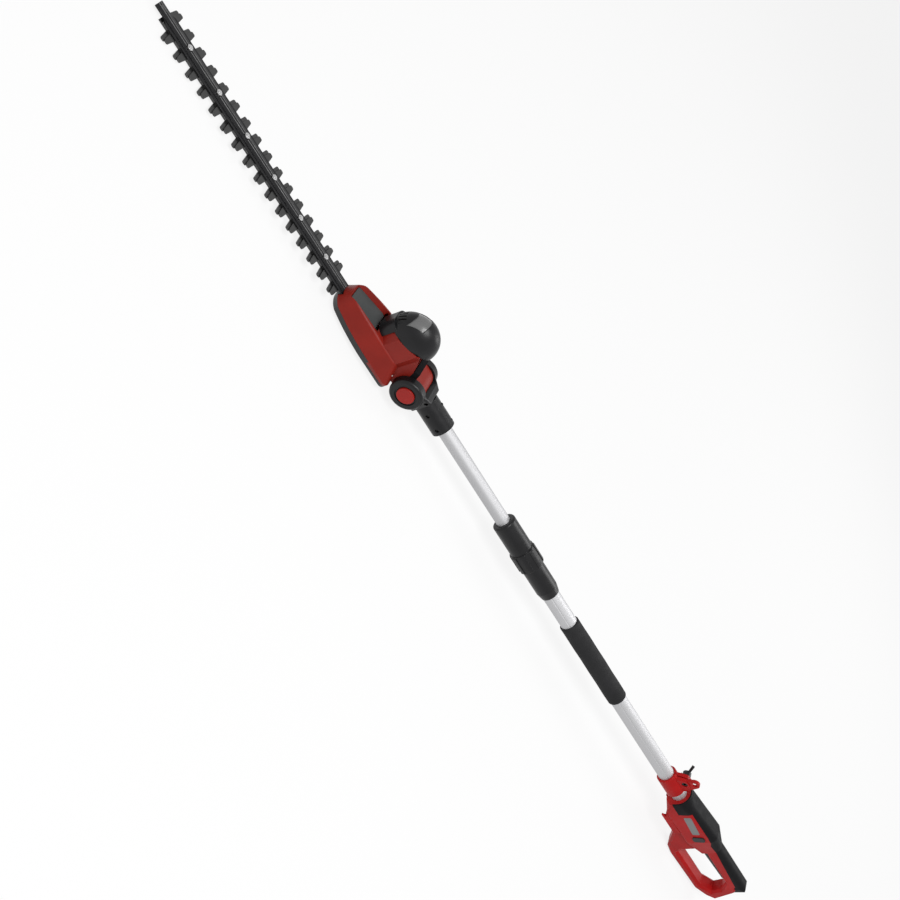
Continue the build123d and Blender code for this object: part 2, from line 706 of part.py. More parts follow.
def dome(inset):
    """Egg-shaped dome over the motor, drawn in by inset; its seam lies where the cap is cut off."""
    ball = Rot(0, 90, 0) * Rot(90, 0, 0) * Sphere(1)
    egg = scale(ball, by=(CAP_LONG - inset, TOWER_HALF - inset, CAP_TALL - inset))
    return Pos(CAP_X, 0, CAP_Z) * egg


def cap_band(gap=0.0):
    """Glossy grey band sunk into the top of the motor cap; with a gap, its recess."""
    front = CAP_BAND_X + gap
    rear = CAP_BAND_X - CAP_BAND_LONG - gap
    reach = CAP_BAND_HALF + gap
    slot = block(rear, front, -reach, reach, TOWER_REAR_Z, 2 * CAP_Z + CAP_TALL)
    upper = dome(-gap) if gap else dome(CAP_BAND_SINK)
    return (upper - dome(CAP_BAND_SINK + CAP_BAND_THICK + gap)) & slot


def motor_cap():
    """Black domed cover over the motor, with a foot on the deck, vents and a recess for the band."""
    foot = SHELL_TOP + SEAT
    high = 2 * CAP_TALL + CAP_Z
    over = [
        (0, TOWER_REAR_Z), (TOWER_REAR_X, TOWER_REAR_Z), (TOWER_FRONT_X, TOWER_FRONT_Z),
        (TOWER_FRONT_X, foot), (NOSE_X, foot), (NOSE_X, high), (0, high),
    ]
    cap = dome(0) & side_slab(over, -WIDE, WIDE)
    apron = block(TOWER_FRONT_X, CAP_FOOT_X, -CAP_FOOT_HALF, CAP_FOOT_HALF, foot, CAP_Z)
    corners = apron.edges().filter_by(Axis.Z).sort_by(Axis.X)[-2:]
    cap += fillet(corners, CAP_FOOT_X - TOWER_FRONT_X - SEAT)
    sill = block(0, TOWER_REAR_X + CAP_WALL, -WIDE, WIDE, 0, TOWER_REAR_Z + CAP_WALL)
    cap -= dome(CAP_WALL) - sill
    cap -= cap_band(SEAT)
    for i in range(VENT_SLOTS):
        y = (i - (VENT_SLOTS - 1) / 2) * VENT_STEP
        cap -= block(VENT_X, NOSE_X, y - VENT_WIDE / 2, y + VENT_WIDE / 2, VENT_LOW_Z, VENT_TOP_Z)
    return cap


# Tilt hinge and yoke

def yoke_solid():
    """Both halves of the yoke: two discs, two arms, a web and the tube socket."""
    plan = mirrored([(0, DISC_OUTER), (YOKE_ARM_X, DISC_OUTER), (YOKE_NECK_X, YOKE_RADIUS)])
    side = mirrored([(0, YOKE_ARM_HALF), (YOKE_NECK_X, YOKE_RADIUS)])
    yoke = plan_slab(plan, -DISC_RADIUS, DISC_RADIUS) & side_slab(side, -DISC_OUTER, DISC_OUTER)
    yoke = fillet(yoke.edges().filter_by(lambda e: abs(e.center().Z) > PIN_RADIUS), YOKE_ROUND)
    disc = Cylinder(DISC_RADIUS, DISC_CROWN - DISC_INNER)
    rim = disc.edges().filter_by(GeomType.CIRCLE).sort_by(Axis.Z)[-1]
    disc = fillet(rim, DISC_ROUND)
    middle = (DISC_CROWN + DISC_INNER) / 2
    yoke -= web_room()
    yoke += Pos(0, middle, 0) * Rot(-90, 0, 0) * disc
    yoke += Pos(0, -middle, 0) * Rot(90, 0, 0) * disc
    yoke += rod_x(YOKE_RADIUS, YOKE_NECK_X + RUN, YOKE_END_X)
    yoke -= rod_x(INNER_RADIUS + RUN, INNER_FRONT_X, YOKE_END_X - CLEAR)
    yoke -= rod_x(INNER_BORE - INNER_WALL, INNER_FRONT_X - CLEAR, 0)
    yoke -= rod_y(PIN_RADIUS + RUN, -DISC_OUTER, -DISC_INNER + RUN)
    yoke -= rod_y(HUB_RADIUS + CLEAR, DISC_INNER - RUN, DISC_CROWN)
    yoke -= rod_y(BUTTON_RADIUS + CLEAR, BUTTON_BACK - BUTTON_TRAVEL - CLEAR, DISC_CROWN + CLEAR)
    yoke -= rod_y(BUTTON_RADIUS + BUTTON_RING, DISC_CROWN - BUTTON_RING_DEEP, DISC_CROWN + CLEAR)
    for x, z, side, tip, seat in yoke_screw_places():
        yoke -= rod_y(YOKE_SCREW + SEAT, side * tip, side * DISC_CROWN, x, z)
        yoke -= rod_y(YOKE_SCREW_HEAD + SEAT, side * seat, side * DISC_CROWN, x, z)
    return yoke


def web_room():
    """Space between the discs that the barrel and the tilting head sweep."""
    rise = WIDE * sin(radians(WEB_ANGLE))
    run = WIDE * cos(radians(WEB_ANGLE))
    wedge = [(0, 0), (run, rise), (WIDE, rise), (WIDE, -rise), (run, -rise)]
    swept = side_slab(wedge, -DISC_INNER, DISC_INNER)
    return swept + rod_y(BARREL_RADIUS + 2 * CLEAR, -DISC_INNER, DISC_INNER)


def yoke_screw_places():
    """Place, side, tip and head seat of each screw: three close the yoke, two hold the tube."""
    places = [(x, z, -1, -YOKE_SCREW_TIP, YOKE_SCREW_SEAT) for x, z in YOKE_SCREWS]
    places.append((*YOKE_NEAR_SCREW, 1, -YOKE_SCREW_TIP, YOKE_SCREW_SEAT))
    places += [(x, TUBE_SCREW_Z, 1, TUBE_SCREW_TIP, TUBE_SCREW_SEAT) for x in TUBE_SCREWS_X]
    return places


def yoke_half(side):
    """Left (1) or right (-1) half of the yoke."""
    keep = block(YOKE_END_X - CLEAR, WIDE, 0, side * WIDE, -WIDE, WIDE)
    return yoke_solid() & keep


def yoke_screws():
    """Screws that join the yoke's halves and hold the tube in them."""
    screws = []
    for x, z, side, tip, seat in yoke_screw_places():
        top = seat + YOKE_SCREW
        screw = rod_y(YOKE_SCREW, side * tip, side * seat, x, z)
        screw += rod_y(YOKE_SCREW_HEAD, side * seat, side * top, x, z)
        slot_floor = seat + YOKE_SCREW / 2
        screw -= block(x - YOKE_SCREW, x + YOKE_SCREW, side * slot_floor, side * WIDE, z - CLEAR, z + CLEAR)
        screws.append(screw)
    return Compound(children=screws)


def release_button():
    """Red push button in the left disc."""
    button = rod_y(BUTTON_RADIUS, BUTTON_BACK, BUTTON_FACE)
    rim = button.edges().filter_by(GeomType.CIRCLE).sort_by(Axis.Y)[-1]
    return fillet(rim, BUTTON_FACE - DISC_CROWN)


def lock_hub():
    """Lock hub behind the button, riding on the hinge pin."""
    hub = rod_y(HUB_RADIUS, HUB_INNER, BUTTON_BACK)
    hub -= rod_y(PIN_RADIUS + CLEAR, HUB_INNER - CLEAR, PIN_END + BUTTON_TRAVEL + CLEAR)
    return hub


def release_spring():
    """Coil that pushes the lock hub out."""
    long = HUB_INNER - SPRING_INNER - 2 * SPRING_WIRE - 2 * SLIP
    spring = coil((PIN_RADIUS + HUB_RADIUS) / 2, SPRING_WIRE, long, SPRING_TURNS)
    return Pos(0, SPRING_INNER + SPRING_WIRE + SLIP, 0) * Rot(-90, 0, 0) * spring


def hinge_pin():
    """Steel pin fixed in the right arm."""
    return rod_y(PIN_RADIUS, -DISC_OUTER, PIN_END)


# Drive

def gear(teeth, thick):
    """Spur gear with straight-flanked teeth, one tooth pointing along +X."""
    pitch = GEAR_MODULE * teeth / 2
    tip = pitch + GEAR_ADDENDUM * GEAR_MODULE
    root = pitch - GEAR_DEDENDUM * GEAR_MODULE
    half = pi * GEAR_MODULE / 4 * GEAR_THINNING
    tip_half = (half - GEAR_ADDENDUM * GEAR_MODULE * GEAR_FLANK) / tip
    root_half = (half + GEAR_DEDENDUM * GEAR_MODULE * GEAR_FLANK) / root
    points = []
    for i in range(teeth):
        middle = 2 * pi * i / teeth
        for radius, angle in ((root, -root_half), (tip, -tip_half), (tip, tip_half), (root, root_half)):
            points.append((radius * cos(middle + angle), radius * sin(middle + angle)))
    return extrude(make_face(Polyline(*points, close=True)), amount=thick)


def drive_gear():
    """Gear with its shaft and the two opposed eccentrics that drive the blades."""
    mesh_turn = 180 + 180 / GEAR_TEETH
    wheel = Pos(CRANK_X, 0, GEAR_BOTTOM) * Rot(0, 0, mesh_turn) * gear(GEAR_TEETH, GEAR_THICK)
    wheel += rod_z(2 * CRANK_RADIUS, UPPER_TOP, GEAR_BOTTOM, CRANK_X)
    wheel += rod_z(CRANK_RADIUS, BASE_BOTTOM + HEAD_WALL + CLEAR, CASE_BOTTOM + CASE_THICK, CRANK_X)
    off_x = -THROW * sin(radians(CRANK_REST))
    off_y = THROW * cos(radians(CRANK_REST))
    wheel += rod_z(ECCENTRIC, UPPER_BOTTOM, UPPER_TOP, CRANK_X + off_x, off_y)
    wheel += rod_z(ECCENTRIC, LOWER_BOTTOM, LOWER_TOP, CRANK_X - off_x, -off_y)
    return wheel


def motor_pinion():
    """Motor shaft with its pinion."""
    shaft = rod_z(MOTOR_SHAFT, GEAR_BOTTOM, CASE_BOTTOM + CASE_THICK + MOTOR_TALL / 2, MOTOR_X)
    return shaft + Pos(MOTOR_X, 0, GEAR_BOTTOM) * gear(PINION_TEETH, CASE_BOTTOM - CLEAR - GEAR_BOTTOM)


def motor():
    """Motor can with its nose boss, vents and end bell."""
    bottom = CASE_BOTTOM + CASE_THICK
    top = bottom + MOTOR_TALL
    can = rod_z(MOTOR_RADIUS, bottom, top, MOTOR_X)
    can = chamfer(can.edges().filter_by(GeomType.CIRCLE), MOTOR_BEVEL)
    can += rod_z(MOTOR_BOSS, CASE_BOTTOM, bottom + RUN, MOTOR_X)
    can += rod_z(MOTOR_BOSS, top - RUN, top + MOTOR_BOSS / 2, MOTOR_X)
    can -= rod_z(MOTOR_SHAFT + RUN, CASE_BOTTOM - RUN, bottom + MOTOR_TALL / 2 + CLEAR, MOTOR_X)
    for x, y in motor_screw_places():
        can -= rod_z(HEAD_SCREW_RADIUS + SEAT, bottom - SEAT, bottom + CASE_THICK + SEAT, x, y)
    for side in (1, -1):
        tab = side * MOTOR_TAB_Y
        half = MOTOR_TAB_HALF
        can += block(MOTOR_X - half, MOTOR_X + half, tab, tab + MOTOR_TAB, top - RUN, top + MOTOR_BOSS)
    return can


def gear_case():
    """Cast plate that carries the motor and the gear, with a front foot for the guide bar."""
    top = CASE_BOTTOM + CASE_THICK
    bar_top = BAR_BOTTOM + BAR_FLANGE
    case = block(CASE_REAR_X, CASE_WALL_X + CASE_THICK, -CASE_HALF, CASE_HALF, CASE_BOTTOM, top)
    case = fillet(case.edges().filter_by(Axis.Z), CASE_CORNER)
    case += block(CASE_WALL_X, CASE_WALL_X + CASE_THICK, -BAR_HALF, BAR_HALF, bar_top, top)
    case += block(CASE_WALL_X, CASE_FRONT_X, -BAR_HALF, BAR_HALF, bar_top, CASE_FRONT_TOP)
    case -= rod_z(MOTOR_BOSS + SEAT, CASE_BOTTOM - SEAT, top + SEAT, MOTOR_X)
    case -= rod_z(CRANK_RADIUS + BUSH_WALL + SEAT, CASE_BOTTOM - SEAT, top + SEAT, CRANK_X)
    for x in bar_screw_x():
        case -= rod_z(STUD_RADIUS + SEAT, bar_top - SEAT, CASE_FRONT_TOP + SEAT, x)
    for x, y in motor_screw_places():
        case -= rod_z(HEAD_SCREW_RADIUS + SEAT, CASE_BOTTOM - SEAT, top + SEAT, x, y)
    return case


def motor_screw_places():
    """Two screws from the gear case into the motor's face."""
    return [(MOTOR_X, MOTOR_SCREW_Y), (MOTOR_X, -MOTOR_SCREW_Y)]


def motor_screws():
    """Screws that hold the motor to the gear case."""
    screws = []
    for x, y in motor_screw_places():
        screws.append(rod_z(HEAD_SCREW_RADIUS, CASE_BOTTOM, CASE_BOTTOM + 2 * CASE_THICK, x, y))
    return Compound(children=screws)


def gear_bushes():
    """Plain bushes at both ends of the gear shaft."""
    lower = (BASE_BOTTOM + HEAD_WALL + SEAT, LOWER_BOTTOM - CLEAR)
    upper = (CASE_BOTTOM, CASE_BOTTOM + CASE_THICK)
    bushes = []
    for bottom, top in (lower, upper):
        bush = rod_z(CRANK_RADIUS + BUSH_WALL, bottom, top, CRANK_X)
        bushes.append(bush - rod_z(CRANK_RADIUS + RUN, bottom - CLEAR, top + CLEAR, CRANK_X))
    return Compound(children=bushes)


def bar_screws():
    """Screws that clamp the guide bar under the gear case's foot."""
    screws = []
    for x in bar_screw_x():
        screw = rod_z(STUD_RADIUS, BAR_BOTTOM, CASE_FRONT_TOP, x)
        head = rod_z(STUD_NUT_RADIUS, CASE_FRONT_TOP, CASE_FRONT_TOP + STUD_RADIUS, x)
        screws.append(screw + head)
    return Compound(children=screws)


def head_screws():
    """Screws that hold the base plate to the housing."""
    seat = BASE_BOTTOM + HEAD_SCREW_SINK
    screws = []
    for x, y in head_screw_places():
        screw = rod_z(HEAD_SCREW_RADIUS, seat, BASE_TOP + HEAD_SCREW_LONG - 2 * HEAD_WALL, x, y)
        head = rod_z(HEAD_SCREW_HEAD, seat - HEAD_SCREW_RADIUS, seat, x, y)
        screws.append(screw + head)
    return Compound(children=screws)


# Pole

def ring_x(outer, inner, x0, x1):
    """Round sleeve along X."""
    return rod_x(outer, x0, x1) - rod_x(inner, min(x0, x1) - CLEAR, max(x0, x1) + CLEAR)


def inner_tube():
    """Sliding tube that carries the head."""
    tube = ring_x(INNER_RADIUS, INNER_BORE, INNER_FRONT_X, INNER_REAR_X)
    for x in TUBE_SCREWS_X:
        tube -= rod_y(YOKE_SCREW + SEAT, 0, WIDE, x, TUBE_SCREW_Z)
    return tube


def tube_bush():
    """Plastic guide bush on the inner tube's hidden end."""
    return ring_x(OUTER_BORE - CLEAR, INNER_RADIUS + RUN, INNER_REAR_X, INNER_REAR_X + TUBE_BUSH_LONG)


def outer_tube():
    """Fixed tube with a key groove along it."""
    tube = ring_x(OUTER_RADIUS, OUTER_BORE, OUTER_FRONT_X, OUTER_REAR_X)
    out = OUTER_RADIUS + GROOVE_DEPTH
    points = [(OUTER_RADIUS - GROOVE_DEPTH, 0), (out, 2 * GROOVE_HALF), (out, -2 * GROOVE_HALF)]
    outline = Polyline(*[(OUTER_REAR_X, r, t) for r, t in points], close=True)
    groove = extrude(make_face(outline), amount=OUTER_FRONT_X - OUTER_REAR_X, dir=(1, 0, 0))
    return tube - Rot(GROOVE_ANGLE, 0, 0) * groove


def collet():
    """Slotted collet between the tubes, with a flange against the outer tube's end."""
    rear = OUTER_FRONT_X - COLLET_REACH
    ring = ring_x(COLLET_FLANGE, INNER_RADIUS + CLEAR, NUT_FRONT_X - NUT_LIP - SLIP, OUTER_FRONT_X)
    ring += ring_x(OUTER_BORE - SEAT, INNER_RADIUS + CLEAR, OUTER_FRONT_X + RUN, rear)
    reach = 2 * COLLET_FLANGE
    slit = block(OUTER_FRONT_X - COLLET_SLIT, NUT_FRONT_X, -CLEAR, CLEAR, -reach, reach)
    for angle in (0, 90):
        ring -= Rot(angle, 0, 0) * slit
    return ring


def twist_nut():
    """Turning nut of the telescope lock, with flats on its rear bulge."""
    nut = rod_x(NUT_RADIUS, NUT_FRONT_X, NUT_BULGE_X - NUT_LIP)
    nut = fillet(nut.edges().filter_by(GeomType.CIRCLE).sort_by(Axis.X)[-1], NUT_LIP)
    bulge = rod_x(NUT_BULGE_RADIUS, NUT_BULGE_X, NUT_REAR_X)
    bulge = fillet(bulge.edges().filter_by(GeomType.CIRCLE), NUT_LIP)
    for i in range(NUT_FLATS):
        half = NUT_FLAT_WIDE / 2
        low = NUT_BULGE_RADIUS - NUT_FLAT_DEEP
        flat = block(NUT_REAR_X - CLEAR, NUT_BULGE_X + CLEAR, -half, half, low, 2 * NUT_BULGE_RADIUS)
        bulge -= Rot(360 * i / NUT_FLATS, 0, 0) * flat
    nut += bulge
    nut -= rod_x(INNER_RADIUS + 2 * CLEAR, NUT_REAR_X, NUT_FRONT_X + CLEAR)
    nut -= rod_x(COLLET_FLANGE + CLEAR, OUTER_FRONT_X - CLEAR, NUT_FRONT_X - NUT_LIP)
    nut -= rod_x(OUTER_RADIUS + CLEAR, NUT_REAR_X - CLEAR, OUTER_FRONT_X)
    return nut


def lock_collar():
    """Fixed collar behind the twist nut."""
    collar = ring_x(COLLAR_RADIUS, OUTER_RADIUS + RUN, NUT_REAR_X - CLEAR, COLLAR_TAPER_X)
    cone = Cone(COLLAR_END_RADIUS, COLLAR_RADIUS, COLLAR_TAPER_X - COLLAR_REAR_X)
    taper = Pos((COLLAR_TAPER_X + COLLAR_REAR_X) / 2, 0, 0) * Rot(0, 90, 0) * cone
    return collar + (taper - rod_x(OUTER_RADIUS + RUN, COLLAR_REAR_X - CLEAR, COLLAR_TAPER_X + CLEAR))


def foam_grip():
    """Soft sleeve for the front hand."""
    grip = ring_x(FOAM_RADIUS, OUTER_RADIUS + RUN, FOAM_FRONT_X, FOAM_REAR_X)
    circles = grip.edges().filter_by(GeomType.CIRCLE)
    rims = circles.filter_by(lambda e: abs(e.radius - FOAM_RADIUS) < SLIP)
    return fillet(rims, FOAM_ROUND)


def power_lead():
    """Curly lead lying in the tubes, as its outer envelope."""
    return rod_x(LEAD_RADIUS, INNER_FRONT_X - CLEAR, OUTER_REAR_X, z=LEAD_RADIUS + CLEAR - INNER_BORE)


# Strap clamp

def strap_clamp():
    """Split clamp ring with two ears and a strap eye."""
    ring = rod_x(CLAMP_RADIUS, CLAMP_FRONT_X, CLAMP_REAR_X)
    ring = chamfer(ring.edges().filter_by(GeomType.CIRCLE), CLAMP_BEVEL)
    near = CLAMP_SPLIT / 2
    ears = side_slab(EAR_OUTLINE, -EAR_HALF, EAR_HALF)
    root = CLAMP_BOLT_Z - CLAMP_BOLT_RADIUS
    lug = side_slab([
        (CLAMP_BOLT_X + EYE_RADIUS, root), (EYE_X + EYE_RADIUS, EYE_Z),
        (EYE_X - EYE_RADIUS, EYE_Z), (CLAMP_REAR_X, root),
    ], near, EAR_HALF - CLAMP_SPLIT)
    lug += rod_y(EYE_RADIUS, near, EAR_HALF - CLAMP_SPLIT, EYE_X, EYE_Z)
    clamp = ring + ears
    clamp -= block(CLAMP_REAR_X - EAR_HALF, CLAMP_FRONT_X + EAR_HALF, -near, near, 0, 2 * EYE_Z)
    clamp += lug
    clamp -= rod_y(EYE_HOLE, -EAR_HALF, EAR_HALF, EYE_X, EYE_Z)
    clamp -= rod_x(OUTER_RADIUS + RUN, CLAMP_REAR_X - CLEAR, CLAMP_FRONT_X + CLEAR)
    clamp -= rod_y(CLAMP_BOLT_RADIUS + CLEAR, -2 * EAR_HALF, 2 * EAR_HALF, CLAMP_BOLT_X, CLAMP_BOLT_Z)
    clamp -= rod_y(CLAMP_BOLT_HEAD + CLEAR, EAR_HALF - CLAMP_BOLT_SINK, WIDE, CLAMP_BOLT_X, CLAMP_BOLT_Z)
    return clamp


def clamp_bolt():
    """Socket bolt across the clamp's ears, its head sunk in the left one."""
    seat = EAR_HALF - CLAMP_BOLT_SINK
    bolt = rod_y(CLAMP_BOLT_RADIUS, -EAR_HALF - WING_TALL, seat, CLAMP_BOLT_X, CLAMP_BOLT_Z)
    bolt += rod_y(CLAMP_BOLT_HEAD, seat, seat + CLAMP_BOLT_RADIUS, CLAMP_BOLT_X, CLAMP_BOLT_Z)
    socket = extrude(RegularPolygon(CLAMP_BOLT_SOCKET, 6), amount=-CLAMP_BOLT_RADIUS)
    return bolt - Pos(CLAMP_BOLT_X, seat + CLAMP_BOLT_RADIUS, CLAMP_BOLT_Z) * Rot(-90, 0, 0) * socket


def wing_nut():
    """Wing nut on the clamp bolt."""
    start = -EAR_HALF - SLIP
    end = start - WING_TALL
    nut = rod_y(WING_HUB, start, end, CLAMP_BOLT_X, CLAMP_BOLT_Z)
    points = [
        (0, start - WING_THICK, 0), (WING_REACH, end - WING_THICK, 0), (WING_REACH, end - WING_HUB, 0),
        (WING_HUB, end, 0), (0, end, 0),
    ]
    outline = make_face(Polyline(*points, close=True))
    wing = extrude(outline, amount=WING_THICK / 2, dir=(0, 0, 1), both=True)
    for turn in (WING_ANGLE, WING_ANGLE + 180):
        nut += Pos(CLAMP_BOLT_X, 0, CLAMP_BOLT_Z) * Rot(0, turn, 0) * wing
    return nut - rod_y(CLAMP_BOLT_RADIUS + RUN, 0, 2 * end, CLAMP_BOLT_X, CLAMP_BOLT_Z)


# Rear handle

def section(x, half, bottom, top, corner, foot, inset):
    """Cross section of the handle at x with rounded top and foot corners, drawn in by inset."""
    wide = half - inset
    low = bottom + inset
    high = top - inset
    face = make_face(Polyline((x, wide, low), (x, wide, high), (x, -wide, high), (x, -wide, low), close=True))
    upper = face.vertices().group_by(Axis.Z)[-1]
    face = fillet(upper, corner - inset)
    lower = face.vertices().group_by(Axis.Z)[0]
    return fillet(lower, max(foot - inset, BODY_FOOT))


def upper_form(inset):
    """Body and grip of the handle, drawn in by inset."""
    form = loft([
        section(RING_X, RING_RADIUS, -RING_RADIUS, RING_RADIUS, RING_ROUND, RING_FOOT, inset),
        section(BODY_MID_X, BODY_HALF, BODY_BOTTOM, BODY_TOP, BODY_ROUND, BODY_FOOT, inset),
        section(HUMP_X, HUMP_HALF, BODY_BOTTOM, HUMP_TOP, HUMP_ROUND, BODY_FOOT, inset),
        section(NECK_X, NECK_HALF, NECK_BOTTOM, NECK_TOP, NECK_ROUND, BODY_FOOT, inset),
    ], ruled=True)
    half = GRIP_HALF - inset
    grip = block(GRIP_FRONT_X, GRIP_REAR_X + inset, -half, half, GRIP_BOTTOM + inset, GRIP_TOP - inset)
    grip = fillet(grip.edges().filter_by(Axis.X), GRIP_ROUND - inset)
    outline = [(GRIP_FRONT_X, GRIP_BOTTOM), (GRIP_FRONT_X, GRIP_TOP)] + GRIP_END
    plan = mirrored([(GRIP_FRONT_X, GRIP_HALF)] + GRIP_END_HALF)
    end = side_slab(outline, -WIDE, WIDE) & plan_slab(plan, -WIDE, WIDE)
    return form + (grip & Pos(inset, 0, 0) * end)


def side_face(points, grow):
    """Flat face in the XZ plane, its outline moved out by grow."""
    face = make_face(Polyline(*[(x, 0, z) for x, z in points], close=True))
    return offset(face, amount=grow, kind=Kind.INTERSECTION) if grow else face


def loop_form(inset):
    """Hand loop with its window, drawn in by inset."""
    half = LOOP_HALF - inset
    loop = extrude(side_face(LOOP_OUTLINE, -inset), amount=half, dir=(0, 1, 0), both=True)
    loop -= extrude(side_face(WINDOW_OUTLINE, inset), amount=half + CLEAR, dir=(0, 1, 0), both=True)
    if inset:
        return loop
    rims = loop.edges().filter_by(lambda e: abs(abs(e.center().Y) - half) < SLIP)
    return chamfer(rims, LOOP_CHAMFER)


def handle_form(inset):
    """Whole outside of the handle, drawn in by inset."""
    return upper_form(inset) + loop_form(inset)


def soft_grip():
    """Soft black layer over the top of the handle."""
    return (upper_form(0) - upper_form(SOFT_THICK)) & side_slab(SOFT_REGION, -WIDE, WIDE)


def trigger_body(gap):
    """Long trigger under the grip, grown by gap."""
    points = [
        (TRIGGER_FRONT_X + gap, TRIGGER_TOP), (TRIGGER_FRONT_X + gap, TRIGGER_FRONT_Z - gap),
        (TRIGGER_REAR_X - gap, TRIGGER_REAR_Z - gap), (TRIGGER_REAR_X - gap, TRIGGER_TOP),
    ]
    return side_slab(points, -TRIGGER_HALF - gap, TRIGGER_HALF + gap)


def trigger():
    """Trigger with its pivot hole."""
    body = trigger_body(0)
    body = fillet(body.edges().filter_by(Axis.Y).sort_by(Axis.Z)[:2], TRIGGER_ROUND)
    eye = rod_y(2 * TRIGGER_PIN_RADIUS, -TRIGGER_HALF, TRIGGER_HALF, TRIGGER_PIVOT_X, TRIGGER_PIVOT_Z)
    reach = TRIGGER_HALF + CLEAR
    bore = rod_y(TRIGGER_PIN_RADIUS + RUN, -reach, reach, TRIGGER_PIVOT_X, TRIGGER_PIVOT_Z)
    return body + eye - bore


def trigger_pin(gap=0.0):
    """Pin that the trigger turns on, grown by gap."""
    reach = GRIP_HALF - SOFT_THICK - SHELL_WALL + 2 * RUN + gap
    return rod_y(TRIGGER_PIN_RADIUS + gap, -reach, reach, TRIGGER_PIVOT_X, TRIGGER_PIVOT_Z)


def lock_slab(grow, y0, y1):
    """Block with the lock-off button's outline, grown by grow."""
    long = LOCK_LONG / 2 + grow
    tall = LOCK_WIDE / 2 + grow
    slab = block(-long, long, y0, y1, -tall, tall)
    slab = fillet(slab.edges().filter_by(Axis.Y), LOCK_CORNER)
    return Pos(LOCK_X, 0, LOCK_Z) * Rot(0, LOCK_TURN, 0) * slab


def lockoff_button():
    """Lock-off button on the left side, held in by a flange."""
    button = lock_slab(0, LOCK_BACK, WIDE) & upper_form(-LOCK_PROUD)
    return button + lock_slab(LOCK_FLANGE, LOCK_BACK, LOCK_BACK + LOCK_FLANGE)


def lockoff_spring():
    """Coil behind the lock-off button."""
    long = LOCK_BACK - LOCK_SPRING_END - 2 * SPRING_WIRE - 2 * SLIP
    spring = coil(LOCK_SPRING_RADIUS, SPRING_WIRE / 2, long, SPRING_TURNS)
    return Pos(LOCK_X, LOCK_SPRING_END + SPRING_WIRE + SLIP, LOCK_Z) * Rot(-90, 0, 0) * spring


def name_plate(gap=0.0):
    """Blank plate let into the left side of the body."""
    long = PLATE_LONG / 2 + gap
    tall = PLATE_TALL / 2 + gap
    slab = block(-long, long, 0, WIDE, -tall, tall)
    slab = fillet(slab.edges().filter_by(Axis.Y), PLATE_CORNER)
    slab = Pos(PLATE_X, 0, PLATE_Z) * Rot(0, PLATE_TURN, 0) * slab
    proud = PLATE_THICK if gap else SEAT
    return (upper_form(-proud) - upper_form(PLATE_THICK + gap)) & slab


def runner_gap():
    """Shallow gap under the hand loop, so that it stands on two runners."""
    x, z = LOOP_REST
    reach = RUNNER_LONG / 2
    return block(x - reach, x + reach, -RUNNER_GAP_HALF, RUNNER_GAP_HALF, z - RUNNER_TALL, z + RUNNER_TALL)


def handle_shell():
    """Both red shells of the handle as one, with every hole and boss."""
    wall = SOFT_THICK + SHELL_WALL
    behind = block(CAVITY_FRONT_X, 2 * CAVITY_FRONT_X, -WIDE, WIDE, -2 * WIDE, WIDE)
    whole = handle_form(0)
    shell = whole - (handle_form(wall) & behind)
    for x, z in HANDLE_SCREWS:
        shell += rod_y(HANDLE_BOSS, -WIDE, WIDE, x, z) & whole
    for side in (1, -1):
        start = side * (TRIGGER_HALF + CLEAR)
        seat = rod_y(2 * TRIGGER_PIN_RADIUS, start, side * WIDE, TRIGGER_PIVOT_X, TRIGGER_PIVOT_Z)
        shell += seat & whole
    post = rod_y(LOCK_SPRING_RADIUS + SPRING_WIRE, -WIDE, LOCK_SPRING_END, LOCK_X, LOCK_Z)
    shell += post & whole
    shell -= soft_grip()
    shell -= rod_x(OUTER_RADIUS + RUN, OUTER_REAR_X, 0)
    shell -= rod_x(OUTER_BORE, CAVITY_FRONT_X - CLEAR, OUTER_REAR_X + CLEAR)
    slot = trigger_body(CLEAR)
    shell -= slot + Pos(TRIGGER_PLAY, 0, 0) * slot
    shell -= trigger_pin(SEAT)
    shell -= lock_slab(CLEAR, LOCK_SPRING_END + LOCK_FLANGE, WIDE)
    shell -= name_plate(SEAT)
    for x, z in HANDLE_SCREWS:
        shell -= rod_y(HANDLE_SCREW + SEAT, -HANDLE_SCREW_SEAT - CLEAR, HANDLE_SCREW_TIP + CLEAR, x, z)
        shell -= rod_y(HANDLE_SCREW_HEAD + SEAT, -WIDE, -HANDLE_SCREW_SEAT, x, z)
    return shell - runner_gap()


def handle_half(shell, side):
    """Left (1) or right (-1) shell of the handle."""
    return shell & block(0, 2 * GRIP_REAR_X, 0, side * WIDE, -2 * WIDE, WIDE)


def handle_screws():
    """Screws that close the handle, put in from the right."""
    screws = []
    for x, z in HANDLE_SCREWS:
        screw = rod_y(HANDLE_SCREW, -HANDLE_SCREW_SEAT, HANDLE_SCREW_TIP, x, z)
        head = rod_y(HANDLE_SCREW_HEAD, -HANDLE_SCREW_SEAT - HANDLE_SCREW, -HANDLE_SCREW_SEAT, x, z)
        screws.append(screw + head)
    return Compound(children=screws)


